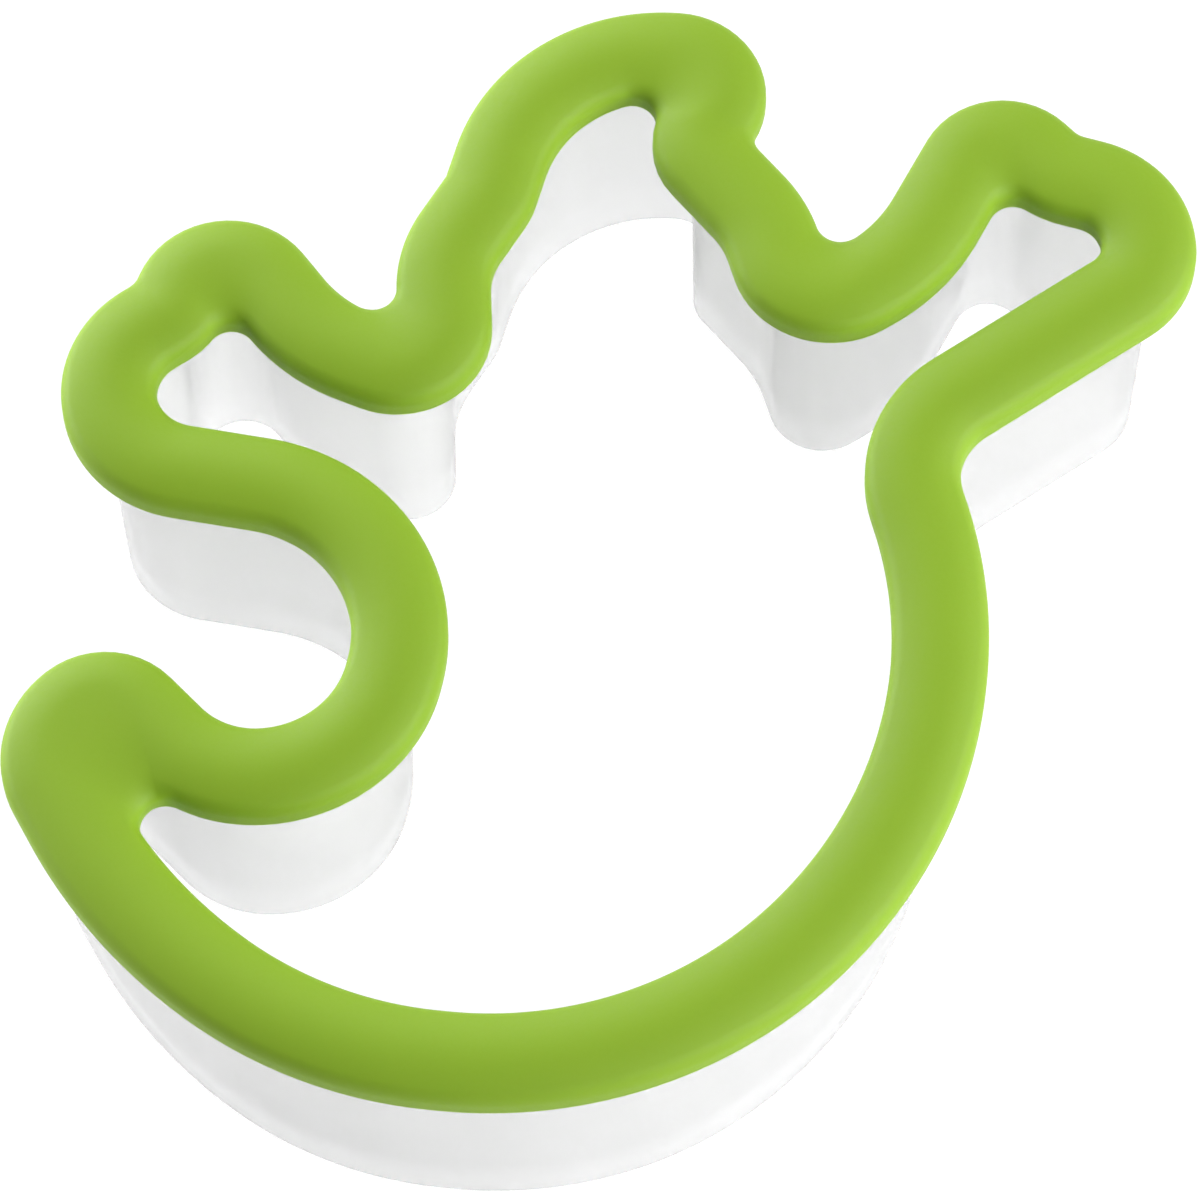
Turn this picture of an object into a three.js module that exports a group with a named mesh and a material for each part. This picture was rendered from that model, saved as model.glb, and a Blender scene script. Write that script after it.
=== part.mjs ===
// Cookie cutter in the outline of a ghost with raised arms and a curled tail.
// A hard plastic wall cuts the dough, and a soft grip is moulded over the rail along the wall's top.
// Millimetres, +Z up. The cutting edge lies on z = 0, and the origin is under the middle of the outline.

import * as THREE from 'three';

// The size over the grip in plan: across both hands, and from the belly to the head.
const OVERALL_WIDTH = 94.2;
const OVERALL_LENGTH = 104.3;

// The wall: its depth below the grip, and its thickness at the rail and at the cutting edge.
const WALL_DEPTH = 26.8;
const WALL_THICKNESS = 1.3;
const CUTTING_EDGE = 0.6;

// The rail along the wall's top, and the soft material that the grip keeps beside and under it.
const RAIL_THICKNESS = 1.6;
const SKIN_BESIDE_RAIL = 1.8;
const SKIN_UNDER_RAIL = 0.9;

// The gap between the wall and the grip, all along the rail and the slot that holds it.
const BOND_GAP = 0.1;

// The grip's section: low upright sides, a round shoulder, and a crown that meets the shoulder at a slope.
const GRIP_WIDTH = 8.1;
const GRIP_SIDE = 0.95;
const GRIP_SHOULDER = 3.8;
const CROWN_SLOPE = THREE.MathUtils.degToRad(8);
const LOWER_EDGE_CHAMFER = 0.3;

// The least plan radius of the grip's edges and of the rail's slot, where the wall bends more tightly.
const GRIP_LEAST_RADIUS = 2.1;
const SLOT_LEAST_RADIUS = 0.8;

// Corners of the wall's centre line, counter-clockwise from the crown of the head. They are shares of the
// line's width and length, measured from its middle. Each corner is rounded, by a share of the length.
const CORNERS = [
  { across: -0.138, along: 0.491, bend: 0.151 }, // crown of the head
  { across: -0.162, along: 0.331, bend: 0.052 }, // left temple
  { across: -0.196, along: 0.259, bend: 0.099 }, // left of the neck
  { across: -0.169, along: 0.131, bend: 0.042 }, // valley between the head and the left arm
  { across: -0.309, along: 0.164, bend: 0.151 }, // left forearm
  { across: -0.429, along: 0.271, bend: 0.042 }, // top of the left hand
  { across: -0.451, along: 0.172, bend: 0.031 }, // dent in the left hand
  { across: -0.506, along: 0.125, bend: 0.078 }, // end of the left hand, above
  { across: -0.487, along: 0.020, bend: 0.083 }, // end of the left hand, below
  { across: -0.158, along: 0.010, bend: 0.151 }, // waist, above
  { across: -0.178, along: -0.245, bend: 0.125 }, // waist, below
  { across: -0.333, along: -0.272, bend: 0.109 }, // root of the tail
  { across: -0.442, along: -0.196, bend: 0.036 }, // tip of the tail, above
  { across: -0.503, along: -0.261, bend: 0.062 }, // tip of the tail, below
  { across: -0.382, along: -0.406, bend: 0.468 }, // belly, left
  { across: -0.184, along: -0.504, bend: 0.374 }, // belly, front
  { across: 0.122, along: -0.493, bend: 0.374 }, // belly, right
  { across: 0.332, along: -0.272, bend: 0.416 }, // right flank, below
  { across: 0.361, along: -0.034, bend: 0.416 }, // right flank, above
  { across: 0.275, along: 0.142, bend: 0.099 }, // right armpit
  { across: 0.508, along: 0.335, bend: 0.057 }, // end of the right hand, below
  { across: 0.483, along: 0.415, bend: 0.068 }, // end of the right hand, above
  { across: 0.396, along: 0.426, bend: 0.062 }, // dent in the right hand
  { across: 0.327, along: 0.475, bend: 0.036 }, // top of the right hand
  { across: 0.266, along: 0.321, bend: 0.171 }, // right forearm
  { across: 0.166, along: 0.245, bend: 0.047 }, // valley between the right arm and the head
  { across: 0.116, along: 0.340, bend: 0.114 }, // right shoulder
  { across: 0.029, along: 0.410, bend: 0.031 }, // right of the neck
  { across: 0.085, along: 0.505, bend: 0.042 }, // right of the head
];

// How finely round stretches are cut into facets, and straight ones into steps.
const FACET_ERROR = 0.06;
const WIDEST_FACET = THREE.MathUtils.degToRad(16);
const LONGEST_STEP = 6;
const SHOULDER_STEPS = 5;
const TRACE_POINTS = 720;

const lineWidth = OVERALL_WIDTH - GRIP_WIDTH;
const lineLength = OVERALL_LENGTH - GRIP_WIDTH;
const gripHalf = GRIP_WIDTH / 2;
const shoulder = Math.min(GRIP_SHOULDER, gripHalf);
const underside = WALL_DEPTH;
const slotFloor = underside + SKIN_UNDER_RAIL;
const railUnder = slotFloor + BOND_GAP;
const railTop = railUnder + RAIL_THICKNESS;
const slotRoof = railTop + BOND_GAP;
const slotHalf = gripHalf - SKIN_BESIDE_RAIL;
const railHalf = slotHalf - BOND_GAP;
const slotMouth = WALL_THICKNESS / 2 + BOND_GAP;

const corners = CORNERS.map(({ across, along, bend }) => ({
  point: new THREE.Vector2(across * lineWidth, along * lineLength),
  radius: bend * lineLength,
}));

// The bend at one corner: its turn, and how far its arc reaches along each side before any limit.
function bendAt({ point, radius }, index) {
  const into = point.clone().sub(corners.at(index - 1).point);
  const out = corners[(index + 1) % corners.length].point.clone().sub(point);
  const turn = Math.atan2(into.cross(out), into.dot(out));
  const reach = radius * Math.tan(Math.abs(turn) / 2);
  return { point, radius, turn, reach, into, sideBefore: into.length(), sideAfter: out.length() };
}

// The centre line as a closed path of arcs and straight lines. Where two arcs would run past each other
// on the side that they share, both are drawn smaller until they meet.
function centrePath() {
  const path = new THREE.Path();
  const bends = corners.map(bendAt);
  bends.forEach((bend, index) => {
    const before = bends.at(index - 1);
    const after = bends[(index + 1) % bends.length];
    const shareBefore = bend.sideBefore / (before.reach + bend.reach);
    const shareAfter = bend.sideAfter / (bend.reach + after.reach);
    const share = Math.min(1, shareBefore, shareAfter);
    const side = Math.sign(bend.turn);
    const radius = bend.radius * share;
    const forward = bend.into.clone().normalize();
    const left = new THREE.Vector2(-forward.y, forward.x);
    const start = bend.point.clone().addScaledVector(forward, -bend.reach * share);
    const centre = start.clone().addScaledVector(left, side * radius);
    const startAngle = start.clone().sub(centre).angle();
    path.absarc(centre.x, centre.y, radius, startAngle, startAngle + bend.turn, side < 0);
  });
  path.closePath();
  return path;
}

// Steps that one stretch of the centre line is cut into.
function stepsAlong(curve) {
  if (curve.isLineCurve) return Math.ceil((curve.getLength() - FACET_ERROR) / LONGEST_STEP);
  const turn = Math.abs(curve.aEndAngle - curve.aStartAngle);
  const facet = 2 * Math.acos(1 - FACET_ERROR / (curve.xRadius + gripHalf));
  return Math.ceil(turn / Math.min(facet, WIDEST_FACET));
}

// Stations round the centre line, each with its point and its outward normal.
function stationsOn(path) {
  return path.curves.flatMap((curve) => {
    const steps = stepsAlong(curve);
    return Array.from({ length: steps }, (_, step) => {
      const tangent = curve.getTangent(step / steps);
      return { point: curve.getPoint(step / steps), normal: new THREE.Vector2(tangent.y, -tangent.x) };
    });
  });
}

const path = centrePath();
const stations = stationsOn(path);
const trace = path.getSpacedPoints(TRACE_POINTS);

// Where the lines through a, b and through c, d cross.
function crossing(a, b, c, d) {
  const first = b.clone().sub(a);
  const second = d.clone().sub(c);
  const along = c.clone().sub(a).cross(second) / first.cross(second);
  return a.clone().addScaledVector(first, along);
}

// The loop at a distance beside the centre line: outside it for side 1, inside it for side -1.
// A circle of the least radius rolls along it, on the side away from the line. In a bend too tight for the
// circle it stops, touching the bend from both sides, and the loop follows the circle round.
// Each place on the loop has its point and the direction inwards, to the centre line.
function loopBeside(side, distance, leastRadius) {
  const reach = distance + leastRadius;
  const count = stations.length;
  const circles = stations.map(({ point, normal }) => ({
    centre: point.clone().addScaledVector(normal, side * reach),
    inward: normal.clone().multiplyScalar(-side),
  }));
  const clear = circles.map(({ centre }) => (
    trace.every((point) => point.distanceTo(centre) > reach - FACET_ERROR)
  ));
  for (let first = 0; first < count; first += 1) {
    if (!clear[first] || clear[(first + 1) % count]) continue;
    let held = 1;
    while (!clear[(first + held + 1) % count]) held += 1;
    const before = circles[first];
    const after = circles[(first + held + 1) % count];
    const stopping = circles[(first + 1) % count];
    const leaving = circles[(first + held) % count];
    const centre = crossing(before.centre, stopping.centre, leaving.centre, after.centre);
    const turn = Math.atan2(before.inward.cross(after.inward), before.inward.dot(after.inward));
    for (let step = 0; step < held; step += 1) {
      const share = held > 1 ? step / (held - 1) : 1 / 2;
      const inward = before.inward.clone().rotateAround(new THREE.Vector2(), turn * share);
      circles[(first + 1 + step) % count] = { centre, inward };
    }
  }
  return circles.map(({ centre, inward }) => ({
    point: centre.clone().addScaledVector(inward, leastRadius),
    inward,
  }));
}

// A loop moved inwards by a distance.
function inset(loop, distance) {
  return loop.map(({ point, inward }) => ({ point: point.clone().addScaledVector(inward, distance), inward }));
}

// A loop lifted to a height, as one ring of a swept body.
function ring(loop, height) {
  return loop.map(({ point }) => new THREE.Vector3(point.x, point.y, height));
}

// A closed body from rings round its section: each ring is skinned to the next, and the last to the first.
function sweptBody(rings) {
  const around = stations.length;
  const index = [];
  rings.forEach((_, ringIndex) => {
    const low = ringIndex * around;
    const high = ((ringIndex + 1) % rings.length) * around;
    for (let here = 0; here < around; here += 1) {
      const next = (here + 1) % around;
      index.push(low + here, low + next, high + next);
      index.push(low + here, high + next, high + here);
    }
  });
  const geometry = new THREE.BufferGeometry();
  geometry.setFromPoints(rings.flat());
  geometry.setIndex(index);
  geometry.computeVertexNormals();
  return geometry;
}

// The wall with its rail: a tapered blade, thin at the cutting edge, with a T-shaped top.
function wallGeometry() {
  const half = (side) => {
    const rail = loopBeside(side, railHalf, SLOT_LEAST_RADIUS + BOND_GAP);
    return [
      ring(loopBeside(side, CUTTING_EDGE / 2, SLOT_LEAST_RADIUS), 0),
      ring(loopBeside(side, WALL_THICKNESS / 2, SLOT_LEAST_RADIUS), railUnder),
      ring(rail, railUnder),
      ring(rail, railTop),
    ];
  };
  return sweptBody([...half(1), ...half(-1).reverse()]);
}

// One side of the grip's outside, from its chamfered lower edge up to the end of the shoulder.
function gripFlank(edge) {
  const rings = [
    ring(inset(edge, LOWER_EDGE_CHAMFER), underside),
    ring(edge, underside + LOWER_EDGE_CHAMFER),
  ];
  const sweep = Math.PI / 2 - CROWN_SLOPE;
  for (let step = 0; step <= SHOULDER_STEPS; step += 1) {
    const angle = sweep * step / SHOULDER_STEPS;
    const height = underside + GRIP_SIDE + shoulder * Math.sin(angle);
    rings.push(ring(inset(edge, shoulder * (1 - Math.cos(angle))), height));
  }
  return rings;
}

// The height of the crown above the grip's underside.
function crownHeight() {
  const shoulderEnd = gripHalf - shoulder * (1 - Math.sin(CROWN_SLOPE));
  const rise = shoulderEnd * Math.tan(CROWN_SLOPE / 2);
  return GRIP_SIDE + shoulder * Math.cos(CROWN_SLOPE) + rise;
}

// One side of the slot that holds the rail, from its mouth in the grip's underside to its roof.
function slotFlank(side) {
  const mouth = loopBeside(side, slotMouth, SLOT_LEAST_RADIUS);
  const cavity = loopBeside(side, slotHalf, SLOT_LEAST_RADIUS);
  return [ring(mouth, underside), ring(mouth, slotFloor), ring(cavity, slotFloor), ring(cavity, slotRoof)];
}

// The grip: a domed band over the rail, open below along its slot.
function gripGeometry(outerEdge, innerEdge) {
  return sweptBody([
    ...gripFlank(outerEdge),
    ring(stations, underside + crownHeight()),
    ...gripFlank(innerEdge).reverse(),
    ...slotFlank(-1),
    ...slotFlank(1).reverse(),
  ]);
}

const outerEdge = loopBeside(1, gripHalf, GRIP_LEAST_RADIUS);
const innerEdge = loopBeside(-1, gripHalf, GRIP_LEAST_RADIUS);

const wallMaterial = new THREE.MeshStandardMaterial({ color: '#eef0ef', roughness: 0.4, metalness: 0 });
const wall = new THREE.Mesh(wallGeometry(), wallMaterial);
wall.name = 'cutter_wall';

const gripMaterial = new THREE.MeshStandardMaterial({ color: '#8fbe3c', roughness: 0.5, metalness: 0 });
const grip = new THREE.Mesh(gripGeometry(outerEdge, innerEdge), gripMaterial);
grip.name = 'grip_rim';

const edgeBox = new THREE.Box2().setFromPoints(outerEdge.map(({ point }) => point));
const middle = edgeBox.getCenter(new THREE.Vector2());
const cutter = new THREE.Group();
cutter.add(wall, grip);
cutter.position.set(-middle.x, -middle.y, 0);

export default cutter;
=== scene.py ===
# %% [markdown]
# # A cookie cutter with a soft grip
# The cutter is a two-shot moulding. A thin wall of hard white plastic cuts the dough, and a rim of soft green
# rubber is moulded over its top edge, so that a palm can press on it. This lesson loads the solid model of
# the cutter, draws both pieces again with fine smooth meshes, gives them their finishes, and lights them.

# %% Load the solid model
import math

import bpy
import numpy as np
from mathutils import Matrix, Vector


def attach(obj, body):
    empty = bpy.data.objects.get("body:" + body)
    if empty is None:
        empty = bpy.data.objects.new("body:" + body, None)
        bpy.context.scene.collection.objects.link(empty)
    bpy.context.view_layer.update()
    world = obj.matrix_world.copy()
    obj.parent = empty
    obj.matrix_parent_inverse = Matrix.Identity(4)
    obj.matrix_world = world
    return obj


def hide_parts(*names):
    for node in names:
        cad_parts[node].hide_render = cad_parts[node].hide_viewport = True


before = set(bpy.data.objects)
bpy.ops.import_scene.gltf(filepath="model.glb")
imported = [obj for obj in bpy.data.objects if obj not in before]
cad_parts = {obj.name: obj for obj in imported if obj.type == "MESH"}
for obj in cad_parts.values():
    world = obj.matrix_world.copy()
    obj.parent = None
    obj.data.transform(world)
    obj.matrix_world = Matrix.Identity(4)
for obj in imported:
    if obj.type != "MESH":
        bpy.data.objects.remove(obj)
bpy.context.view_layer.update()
print("nodes:", sorted(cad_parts))

# %% [markdown]
# ## Sizes
# The sizes are in millimetres. All but three are the solid model's own, so that the fine meshes lie where the
# solids do. The three are the grip's side, shoulder and crown slope: the photograph's shading asks for a
# tighter shoulder and a lower crown than the solid has, so the grip's top lies 1.2 mm below the solid's.
# Inside the grip, the wall ends in a flat rail that the soft rubber is locked on.

# %% Sizes of the pieces
MM = 0.001
OVERALL_WIDTH = 94.2
OVERALL_LENGTH = 104.3
WALL_DEPTH = 26.8
WALL_THICKNESS = 1.3
CUTTING_EDGE = 0.6
RAIL_THICKNESS = 1.6
SKIN_BESIDE_RAIL = 1.8
SKIN_UNDER_RAIL = 0.9
BOND_GAP = 0.1
GRIP_WIDTH = 8.1
GRIP_SIDE = 1.44
GRIP_SHOULDER = 1.6
CROWN_SLOPE = math.radians(25)
LOWER_EDGE_ROUND = 0.3
GRIP_LEAST_RADIUS = 2.1
SLOT_LEAST_RADIUS = 0.8

grip_half = GRIP_WIDTH / 2
slot_half = grip_half - SKIN_BESIDE_RAIL
rail_half = slot_half - BOND_GAP
slot_mouth = WALL_THICKNESS / 2 + BOND_GAP
slot_floor = WALL_DEPTH + SKIN_UNDER_RAIL
rail_under = slot_floor + BOND_GAP
rail_top = rail_under + RAIL_THICKNESS
slot_roof = rail_top + BOND_GAP
print("rail from", round(rail_under, 2), "to", round(rail_top, 2), "mm above the cutting edge")

# %% [markdown]
# ## The outline
# The wall follows a ghost with raised arms and a curled tail. One could draw such a line by hand as a Bezier
# curve, but then it would only look right. A toolmaker's drawing has corners and radii instead, so this
# table has them too: each corner's place across and along, and the radius that rounds it. They are shares
# of the line's own width and length.

# %% Corners of the outline
CORNERS = [
    (-0.138, 0.491, 0.151),  # crown of the head
    (-0.162, 0.331, 0.052),  # left temple
    (-0.196, 0.259, 0.099),  # left of the neck
    (-0.169, 0.131, 0.042),  # valley between the head and the left arm
    (-0.309, 0.164, 0.151),  # left forearm
    (-0.429, 0.271, 0.042),  # top of the left hand
    (-0.451, 0.172, 0.031),  # dent in the left hand
    (-0.506, 0.125, 0.078),  # end of the left hand, above
    (-0.487, 0.020, 0.083),  # end of the left hand, below
    (-0.158, 0.010, 0.151),  # waist, above
    (-0.178, -0.245, 0.125),  # waist, below
    (-0.333, -0.272, 0.109),  # root of the tail
    (-0.442, -0.196, 0.036),  # tip of the tail, above
    (-0.503, -0.261, 0.062),  # tip of the tail, below
    (-0.382, -0.406, 0.468),  # belly, left
    (-0.184, -0.504, 0.374),  # belly, front
    (0.122, -0.493, 0.374),  # belly, right
    (0.332, -0.272, 0.416),  # right flank, below
    (0.361, -0.034, 0.416),  # right flank, above
    (0.275, 0.142, 0.099),  # right armpit
    (0.508, 0.335, 0.057),  # end of the right hand, below
    (0.483, 0.415, 0.068),  # end of the right hand, above
    (0.396, 0.426, 0.062),  # dent in the right hand
    (0.327, 0.475, 0.036),  # top of the right hand
    (0.266, 0.321, 0.171),  # right forearm
    (0.166, 0.245, 0.047),  # valley between the right arm and the head
    (0.116, 0.340, 0.114),  # right shoulder
    (0.029, 0.410, 0.031),  # right of the neck
    (0.085, 0.505, 0.042),  # right of the head
]
print(len(CORNERS), "corners")

# %% [markdown]
# Each corner becomes an arc that touches the two sides beside it. Where two arcs would run past each other
# on one side, both are drawn smaller until they meet. Points are then laid along the arcs and the straight
# stretches between them, about half a millimetre apart, each with a normal that points out of the shape. A
# straight stretch shorter than a tenth of that step gets no points of its own.

# %% Points along the wall's centre line
STATION_STEP = 0.5
SHORTEST_STEP = 0.1


def centre_line():
    size = np.array([OVERALL_WIDTH - GRIP_WIDTH, OVERALL_LENGTH - GRIP_WIDTH])
    table = np.array(CORNERS)
    corner = table[:, :2] * size
    radius = table[:, 2] * size[1]
    into = corner - np.roll(corner, 1, axis=0)
    out = np.roll(into, -1, axis=0)
    side = np.linalg.norm(into, axis=1)
    cross = into[:, 0] * out[:, 1] - into[:, 1] * out[:, 0]
    turn = np.arctan2(cross, (into * out).sum(axis=1))
    reach = radius * np.tan(np.abs(turn) / 2)
    room = side / (reach + np.roll(reach, 1))
    share = np.minimum(1, np.minimum(room, np.roll(room, -1)))
    hand = np.sign(turn)
    forward = into / side[:, None]
    left = np.stack([-forward[:, 1], forward[:, 0]], axis=1)
    start = corner - forward * (reach * share)[:, None]
    middle = start + left * (hand * radius * share)[:, None]
    points, normals = [], []
    for k in range(len(corner)):
        steps = math.ceil(radius[k] * share[k] * abs(turn[k]) / STATION_STEP)
        spoke = start[k] - middle[k]
        angle = math.atan2(spoke[1], spoke[0]) + turn[k] * np.arange(steps + 1) / steps
        arc = np.stack([np.cos(angle), np.sin(angle)], axis=1)
        points.append(middle[k] + radius[k] * share[k] * arc[:-1])
        normals.append(hand[k] * arc[:-1])
        end = middle[k] + radius[k] * share[k] * arc[-1]
        straight = start[(k + 1) % len(corner)] - end
        steps = math.ceil(np.linalg.norm(straight) / STATION_STEP - SHORTEST_STEP)
        if steps > 0:
            points.append(end + straight * np.arange(steps)[:, None] / steps)
            normals.append(np.repeat(hand[k] * arc[-1:], steps, axis=0))
    return np.vstack(points), np.vstack(normals)


line, line_normal = centre_line()
print(len(line), "stations, line box, mm:", np.ptp(line, axis=0).round(2))

# %% [markdown]
# ## Loops beside the line
# The grip's edges run four millimetres beside the wall. In a tight inside bend such an edge would fold over
# itself. The real mould was cut with a round tool that can't turn more tightly than its own radius, so here
# a circle rolls along the line too. Where the bend is too tight for it, the circle stops, touching the bend
# on both sides, and the edge follows the circle round. This is what makes the small round inside corners.

# %% Rolling a circle along the line
TOUCH = 0.02


def loop_beside(side, distance, least_radius):
    reach = distance + least_radius
    centre = line + side * reach * line_normal
    inward = -side * line_normal
    count = len(line)
    nearest = np.array([np.linalg.norm(line - place, axis=1).min() for place in centre])
    clear = nearest > reach - TOUCH
    for first in np.flatnonzero(clear & ~np.roll(clear, -1)):
        held = 1
        while not clear[(first + held + 1) % count]:
            held += 1
        run = (first + 1 + np.arange(held)) % count
        last = (first + held + 1) % count
        arriving = centre[run[0]] - centre[first]
        leaving = centre[last] - centre[run[-1]]
        apart = centre[run[-1]] - centre[first]
        cross = arriving[0] * leaving[1] - arriving[1] * leaving[0]
        along = (apart[0] * leaving[1] - apart[1] * leaving[0]) / cross
        stop = centre[first] + along * arriving
        centre[run] = stop
        towards = line[run] - stop
        inward[run] = towards / np.linalg.norm(towards, axis=1)[:, None]
    return centre + least_radius * inward, inward


outer_edge, outer_inward = loop_beside(1, grip_half, GRIP_LEAST_RADIUS)
inner_edge, inner_inward = loop_beside(-1, grip_half, GRIP_LEAST_RADIUS)
shift = -(outer_edge.min(axis=0) + outer_edge.max(axis=0)) / 2
print("grip's outer edge, mm:", np.ptp(outer_edge, axis=0).round(2), "shift", shift.round(3))

# %% [markdown]
# ## From loops to a closed mesh
# Both pieces are the same kind of body: a section carried once round the outline. Blender's curve bevel
# could do that, but it folds in tight bends. Here each loop is lifted to its height as a ring of points, and
# the rings are joined by four-sided faces, the last ring to the first, so the mesh is closed.

# %% Joining rings into a mesh


def ring(loop, height):
    return np.column_stack([loop + shift, np.full(len(loop), height)]) * MM


def swept_mesh(name, rings, sharp_angle):
    around = len(line)
    here = np.arange(around)
    after = (here + 1) % around
    faces = []
    for k in range(len(rings)):
        low = k * around
        high = (k + 1) % len(rings) * around
        faces.append(np.column_stack([low + here, low + after, high + after, high + here]))
    mesh = bpy.data.meshes.new(name)
    mesh.from_pydata(np.vstack(rings).tolist(), [], np.vstack(faces).tolist())
    mesh.shade_smooth()
    mesh.set_sharp_from_angle(angle=sharp_angle)
    piece = bpy.data.objects.new(name, mesh)
    bpy.context.scene.collection.objects.link(piece)
    print(name, "has", len(mesh.vertices), "points and", len(mesh.polygons), "faces")
    return piece


# %% [markdown]
# ## The soft grip
# Along the sides that face the light, the photographed grip has a bright band, and a soft line parts it from
# the top. Such a line comes from a tight shoulder below a gently rounded crown. A bevelled flat band would be
# quicker to make, but its top would take one even tone. The section starts with a small round at the lower
# edge, goes up the low side and over the shoulder, and ends at the crown. In the bends that the circle
# couldn't follow, the edge is further from the line, and the section is widened to reach it.

# %% The grip's section
SHARP = math.radians(40)
LOWER_EDGE_POINTS = 5
SHOULDER_POINTS = 14
CROWN_POINTS = 12


def grip_section():
    places = []
    for angle in np.linspace(0, math.pi / 2, LOWER_EDGE_POINTS):
        places.append((LOWER_EDGE_ROUND * (1 - math.sin(angle)), LOWER_EDGE_ROUND * (1 - math.cos(angle))))
    places.append((0, (LOWER_EDGE_ROUND + GRIP_SIDE) / 2))
    for angle in np.linspace(0, math.pi / 2 - CROWN_SLOPE, SHOULDER_POINTS):
        places.append((GRIP_SHOULDER * (1 - math.cos(angle)), GRIP_SIDE + GRIP_SHOULDER * math.sin(angle)))
    shoulder_inset, shoulder_height = places[-1]
    crown_radius = (grip_half - shoulder_inset) / math.sin(CROWN_SLOPE)
    for angle in np.linspace(CROWN_SLOPE, 0, CROWN_POINTS)[1:]:
        rise = crown_radius * (math.cos(angle) - math.cos(CROWN_SLOPE))
        places.append((grip_half - crown_radius * math.sin(angle), shoulder_height + rise))
    return np.array(places)


section = grip_section()
print("section points:", len(section), "crown above the underside, mm:", section[-1, 1].round(2))

# %% The grip as a mesh


def flank(edge, inward):
    widened = inward * np.linalg.norm(line - edge, axis=1)[:, None] / grip_half
    return [ring(edge + inset * widened, WALL_DEPTH + height) for inset, height in section]


def slot_side(side):
    mouth = loop_beside(side, slot_mouth, SLOT_LEAST_RADIUS)[0]
    cavity = loop_beside(side, slot_half, SLOT_LEAST_RADIUS)[0]
    places = [(mouth, WALL_DEPTH), (mouth, slot_floor), (cavity, slot_floor), (cavity, slot_roof)]
    return [ring(loop, height) for loop, height in places]


outside = flank(outer_edge, outer_inward)
inside = flank(inner_edge, inner_inward)[:-1]
grip = swept_mesh("soft_grip", outside + inside[::-1] + slot_side(-1) + slot_side(1)[::-1], SHARP)
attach(grip, "root")
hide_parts("grip_rim")

# %% [markdown]
# ## The cutting wall
# The wall is a blade: thin at the cutting edge, thicker where the grip holds it. Hard plastic never leaves a
# mould with a knife edge, so both corners of the cutting edge get a small round. The flat rail on top is out
# of sight in the grip, and it is drawn too, because the piece is a closed solid.

# %% The wall as a mesh
EDGE_ROUND = 0.12
EDGE_POINTS = 4
BLADE_RINGS = 7


def wall_side(side):
    places = []
    for angle in np.linspace(0, math.pi / 2, EDGE_POINTS):
        sunk = EDGE_ROUND * (1 - math.sin(angle))
        places.append((CUTTING_EDGE / 2 - sunk, EDGE_ROUND * (1 - math.cos(angle))))
    for share in np.linspace(0, 1, BLADE_RINGS)[1:]:
        thick = CUTTING_EDGE + share * (WALL_THICKNESS - CUTTING_EDGE)
        places.append((thick / 2, EDGE_ROUND + share * (rail_under - EDGE_ROUND)))
    rings = [ring(loop_beside(side, half, SLOT_LEAST_RADIUS)[0], height) for half, height in places]
    rail = loop_beside(side, rail_half, SLOT_LEAST_RADIUS + BOND_GAP)[0]
    return rings + [ring(rail, rail_under), ring(rail, rail_top)]


wall = swept_mesh("cutting_wall", wall_side(1) + wall_side(-1)[::-1], SHARP)
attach(wall, "root")
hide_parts("cutter_wall")

# %% [markdown]
# ## Small helpers for the finishes
# Colours are written as the hex values that one reads off a screen, and Blender works in linear light, so one
# function turns one into the other. A second function adds a node, sets its options and sockets, and links it.
# A third tells the rays that look, from the camera, in a reflection or through the milky wall, from those
# that carry light.

# %% Colour and node helpers


def to_linear(hex_colour):
    values = [int(hex_colour[k:k + 2], 16) / 255 for k in (1, 3, 5)]
    return [v / 12.92 if v <= 0.04045 else ((v + 0.055) / 1.055) ** 2.4 for v in values] + [1.0]


def add(tree, kind, options, sockets):
    node = tree.nodes.new(kind)
    for name, value in options.items():
        setattr(node, name, value)
    for name, value in sockets.items():
        if isinstance(value, bpy.types.NodeSocket):
            tree.links.new(value, node.inputs[name])
        else:
            node.inputs[name].default_value = value
    return node


def new_material(name):
    material = bpy.data.materials.new(name)
    material.use_nodes = True
    material.node_tree.nodes.clear()
    return material, material.node_tree


def looking_ray(tree):
    ray = add(tree, "ShaderNodeLightPath", {}, {}).outputs
    direct = add(tree, "ShaderNodeMath", {"operation": "MAXIMUM"}, {
        0: ray["Is Camera Ray"], 1: ray["Is Glossy Ray"]})
    looking = add(tree, "ShaderNodeMath", {"operation": "MAXIMUM"}, {
        0: direct.outputs["Value"], 1: ray["Is Transmission Ray"]})
    return looking.outputs["Value"]


WHITE = (1.0, 1.0, 1.0, 1.0)
print("leaf green in linear light:", [round(v, 3) for v in to_linear("#91B822")])

# %% [markdown]
# ## Soft rubber
# The grip is thermoplastic elastomer, moulded in a steel tool with a blasted surface. That gives the eye a
# silky matte skin: broad soft highlights with no mirror image in them, and light that sinks a little way into
# the rubber, so that its shadows stay green and its lit edges look yellower. Red light is absorbed sooner than
# green, so it travels less far inside. The blasted grain is about 0.1 mm on the real part, too fine to show
# here, so it is drawn at 0.35 mm. Melt that flows round the mould leaves cloudy streaks about 25 mm long.

# %% Elastomer, moulded in a blasted tool
CLOUD_SIZE = 25 * MM
GRAIN_SIZE = 0.35 * MM
GRAIN_HEIGHT = 0.03 * MM

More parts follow.
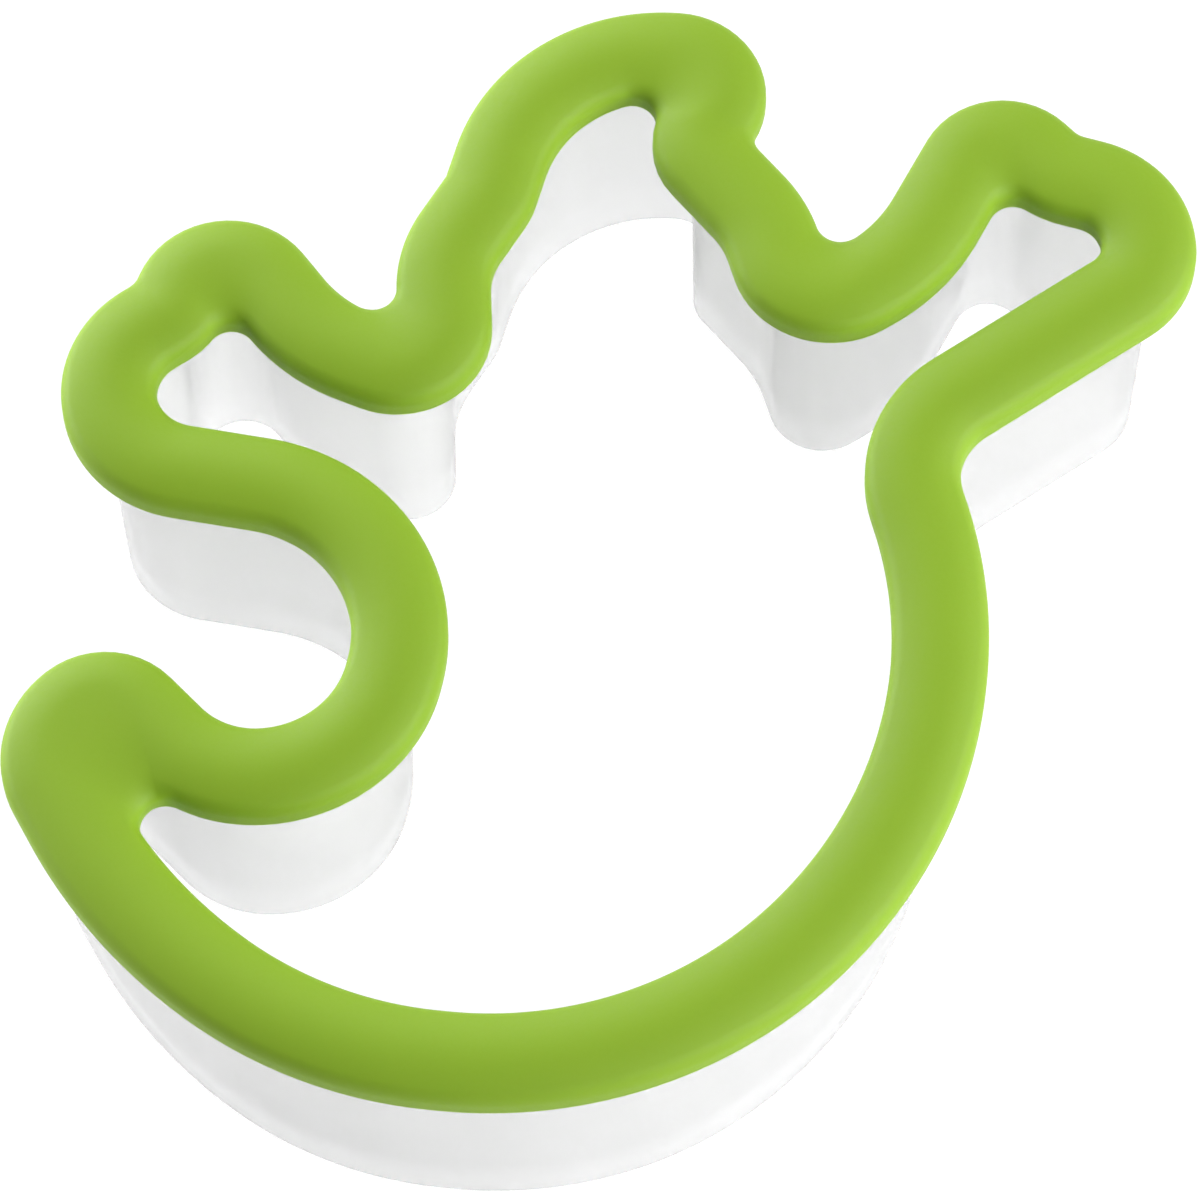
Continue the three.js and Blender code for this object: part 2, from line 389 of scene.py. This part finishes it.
rubber, tree = new_material("elastomer_moulded_matte")
place = add(tree, "ShaderNodeTexCoord", {}, {}).outputs["Object"]
cloud = add(tree, "ShaderNodeTexNoise", {}, {"Vector": place, "Scale": 1 / CLOUD_SIZE, "Detail": 2.0})
grain = add(tree, "ShaderNodeTexNoise", {}, {"Vector": place, "Scale": 1 / GRAIN_SIZE, "Detail": 3.0})
colour = add(tree, "ShaderNodeMix", {"data_type": "RGBA"}, {
    "Factor": cloud.outputs["Fac"], 6: to_linear("#89B01C"), 7: to_linear("#91B822")})
gloss = add(tree, "ShaderNodeMapRange", {}, {
    "Value": grain.outputs["Fac"], "From Min": 0.3, "From Max": 0.7, "To Min": 0.55, "To Max": 0.65})
bump = add(tree, "ShaderNodeBump", {}, {
    "Height": grain.outputs["Fac"], "Strength": 0.25, "Distance": GRAIN_HEIGHT})
skin = add(tree, "ShaderNodeBsdfPrincipled", {"subsurface_method": "RANDOM_WALK"}, {
    "Base Color": colour.outputs[2], "Roughness": gloss.outputs["Result"], "Normal": bump.outputs["Normal"],
    "IOR": 1.49, "Subsurface Weight": 0.2, "Subsurface Radius": (0.6, 1.0, 0.25), "Subsurface Scale": 0.0006})
add(tree, "ShaderNodeOutputMaterial", {}, {"Surface": skin.outputs["BSDF"]})
grip.data.materials.append(rubber)
print(rubber.name, len(tree.nodes), "nodes")

# %% [markdown]
# ## White plastic
# The wall is polypropylene, moulded in a polished tool and milky in itself. The eye sees a clean pale sheet
# with a satin gloss and crisp edges. The white table shows through it, so that its tone is even from the grip
# to the foot, and its shaded side is never quite dark. Plain white paint would be simpler, but it takes every
# shadow, and its foot fades into the table. The faint upright draw marks are about 1.5 mm apart, where the
# wall was pulled out of its mould.

# %% Polypropylene, moulded milky white
HAZE_SIZE = 12 * MM
DRAW_SPACING = 1.5 * MM
DRAW_HEIGHT = 0.02 * MM
DRAW_SQUASH = 0.05

plastic, tree = new_material("polypropylene_moulded_milky")
place = add(tree, "ShaderNodeTexCoord", {}, {}).outputs["Object"]
tall = add(tree, "ShaderNodeMapping", {}, {"Vector": place, "Scale": (1.0, 1.0, DRAW_SQUASH)})
draw = add(tree, "ShaderNodeTexNoise", {}, {
    "Vector": tall.outputs["Vector"], "Scale": 1 / DRAW_SPACING, "Detail": 1.0})
haze = add(tree, "ShaderNodeTexNoise", {}, {"Vector": place, "Scale": 1 / HAZE_SIZE, "Detail": 2.0})
colour = add(tree, "ShaderNodeMix", {"data_type": "RGBA"}, {
    "Factor": haze.outputs["Fac"], 6: to_linear("#F8F8F9"), 7: to_linear("#FCFCFD")})
gloss = add(tree, "ShaderNodeMapRange", {}, {
    "Value": draw.outputs["Fac"], "From Min": 0.3, "From Max": 0.7, "To Min": 0.22, "To Max": 0.24})
bump = add(tree, "ShaderNodeBump", {}, {
    "Height": draw.outputs["Fac"], "Strength": 0.04, "Distance": DRAW_HEIGHT})
sheet = add(tree, "ShaderNodeBsdfPrincipled", {"subsurface_method": "RANDOM_WALK"}, {
    "Base Color": colour.outputs[2], "Roughness": gloss.outputs["Result"], "Normal": bump.outputs["Normal"],
    "IOR": 1.49, "Subsurface Weight": 1.0, "Subsurface Radius": (1.0, 1.0, 1.0), "Subsurface Scale": 0.002,
    "Transmission Weight": 0.7})
add(tree, "ShaderNodeOutputMaterial", {}, {"Surface": sheet.outputs["BSDF"]})
wall.data.materials.append(plastic)
print(plastic.name, len(tree.nodes), "nodes")

# %% [markdown]
# ## The table
# The cutter stands on a white table that runs out of sight. The camera sees it as white, also through the
# milky wall, with only a faint shadow left at the foot. For the light that comes up from it, the table is
# white paper with a weak glow of its own, like the light tables that small goods are photographed on.

# %% White table
FLOOR_HALF = 3.0
TABLE_GLOW = 0.18
TABLE_WHITE = 0.96
SHADOW_SHARE = 0.14
corners = [(-FLOOR_HALF, -FLOOR_HALF, 0), (FLOOR_HALF, -FLOOR_HALF, 0), (FLOOR_HALF, FLOOR_HALF, 0),
           (-FLOOR_HALF, FLOOR_HALF, 0)]
mesh = bpy.data.meshes.new("table")
mesh.from_pydata(corners, [], [(0, 1, 2, 3)])
table = bpy.data.objects.new("table", mesh)
bpy.context.scene.collection.objects.link(table)

paper, tree = new_material("paper_white_matte")
matte = add(tree, "ShaderNodeBsdfDiffuse", {}, {"Color": to_linear("#F5F5F5")})
glow = add(tree, "ShaderNodeEmission", {}, {"Color": WHITE, "Strength": TABLE_GLOW})
bounce = add(tree, "ShaderNodeAddShader", {}, {0: matte.outputs[0], 1: glow.outputs[0]})
shade = add(tree, "ShaderNodeBsdfDiffuse", {}, {"Color": (SHADOW_SHARE, SHADOW_SHARE, SHADOW_SHARE, 1.0)})
white = add(tree, "ShaderNodeEmission", {}, {"Color": WHITE, "Strength": TABLE_WHITE})
shown = add(tree, "ShaderNodeAddShader", {}, {0: shade.outputs[0], 1: white.outputs[0]})
surface = add(tree, "ShaderNodeMixShader", {}, {
    0: looking_ray(tree), 1: bounce.outputs[0], 2: shown.outputs[0]})
add(tree, "ShaderNodeOutputMaterial", {}, {"Surface": surface.outputs[0]})
table.data.materials.append(paper)
print("table", 2 * FLOOR_HALF, "m square")

# %% [markdown]
# ## Light
# The photograph has broad soft lights on the right, at the front right, and at the back on the left. A low
# strip on the left gives the left shoulders their pale sheen, and a weak one on the right lifts the sides
# there. Each lamp stands at its bearing and height above the table and looks at the cutter. Lamps and table
# give all the light, so the world gives none, and only the camera and the reflections see it as white.

# %% World
world = bpy.data.worlds.new("white_room")
bpy.context.scene.world = world
world.use_nodes = True
tree = world.node_tree
tree.nodes.clear()
room = add(tree, "ShaderNodeBackground", {}, {"Color": WHITE, "Strength": looking_ray(tree)})
add(tree, "ShaderNodeOutputWorld", {}, {"Surface": room.outputs["Background"]})
print(world.name, len(tree.nodes), "nodes")

# %% Lamps
TARGET = Vector((0.0, 0.0, 0.028))
LAMPS = [
    # name, bearing from +X towards +Y and height in degrees, distance, width and height in metres, watts
    ("right_softbox", 9, 30, 0.60, 0.40, 0.40, 2.2),
    ("front_right_softbox", 330, 30, 0.60, 0.40, 0.40, 2.15),
    ("low_right_strip", 335, 7, 0.60, 0.50, 0.16, 0.4),
    ("back_left_softbox", 128, 28, 0.60, 0.40, 0.40, 2.35),
    ("low_left_strip", 162, 7, 0.60, 0.50, 0.16, 3.2),
]


def soft_lamp(name, bearing, height, distance, wide, tall, watts):
    light = bpy.data.lights.new(name, "AREA")
    light.shape = "RECTANGLE"
    light.size = wide
    light.size_y = tall
    light.energy = watts
    lamp = bpy.data.objects.new(name, light)
    flat = distance * math.cos(math.radians(height))
    lamp.location = TARGET + Vector((flat * math.cos(math.radians(bearing)),
                                     flat * math.sin(math.radians(bearing)),
                                     distance * math.sin(math.radians(height))))
    lamp.rotation_euler = (TARGET - lamp.location).to_track_quat("-Z", "Y").to_euler()
    bpy.context.scene.collection.objects.link(lamp)
    return lamp


for settings in LAMPS:
    print(soft_lamp(*settings).name, settings[-1], "W")

# %% [markdown]
# ## Camera
# The photograph looks steeply down at the front of the cutter through a long lens. The bearing, the height
# above the table, the distance and a small roll were found by laying the outline over the photograph.

# %% Camera
AIM = Vector((1.167, -4.592, WALL_DEPTH)) * MM
BEARING = math.radians(9.0)
ELEVATION = math.radians(63.656)
ROLL = math.radians(0.587)
DISTANCE = 0.54169
LENS = 193.87
SENSOR = 36.0

lens = bpy.data.cameras.new("camera")
lens.sensor_width = SENSOR
lens.lens = LENS
lens.clip_start = 0.01
lens.clip_end = 20.0
camera = bpy.data.objects.new("camera", lens)
back = Vector((math.sin(BEARING) * math.cos(ELEVATION), -math.cos(BEARING) * math.cos(ELEVATION),
               math.sin(ELEVATION)))
turned = (-back).to_track_quat("-Z", "Y").to_matrix() @ Matrix.Rotation(-ROLL, 3, "Z")
camera.matrix_world = Matrix.Translation(AIM + DISTANCE * back) @ turned.to_4x4()
bpy.context.scene.collection.objects.link(camera)
bpy.context.scene.camera = camera
bpy.context.scene.view_settings.view_transform = "Standard"
print("camera at, mm:", [round(v / MM, 1) for v in camera.location])
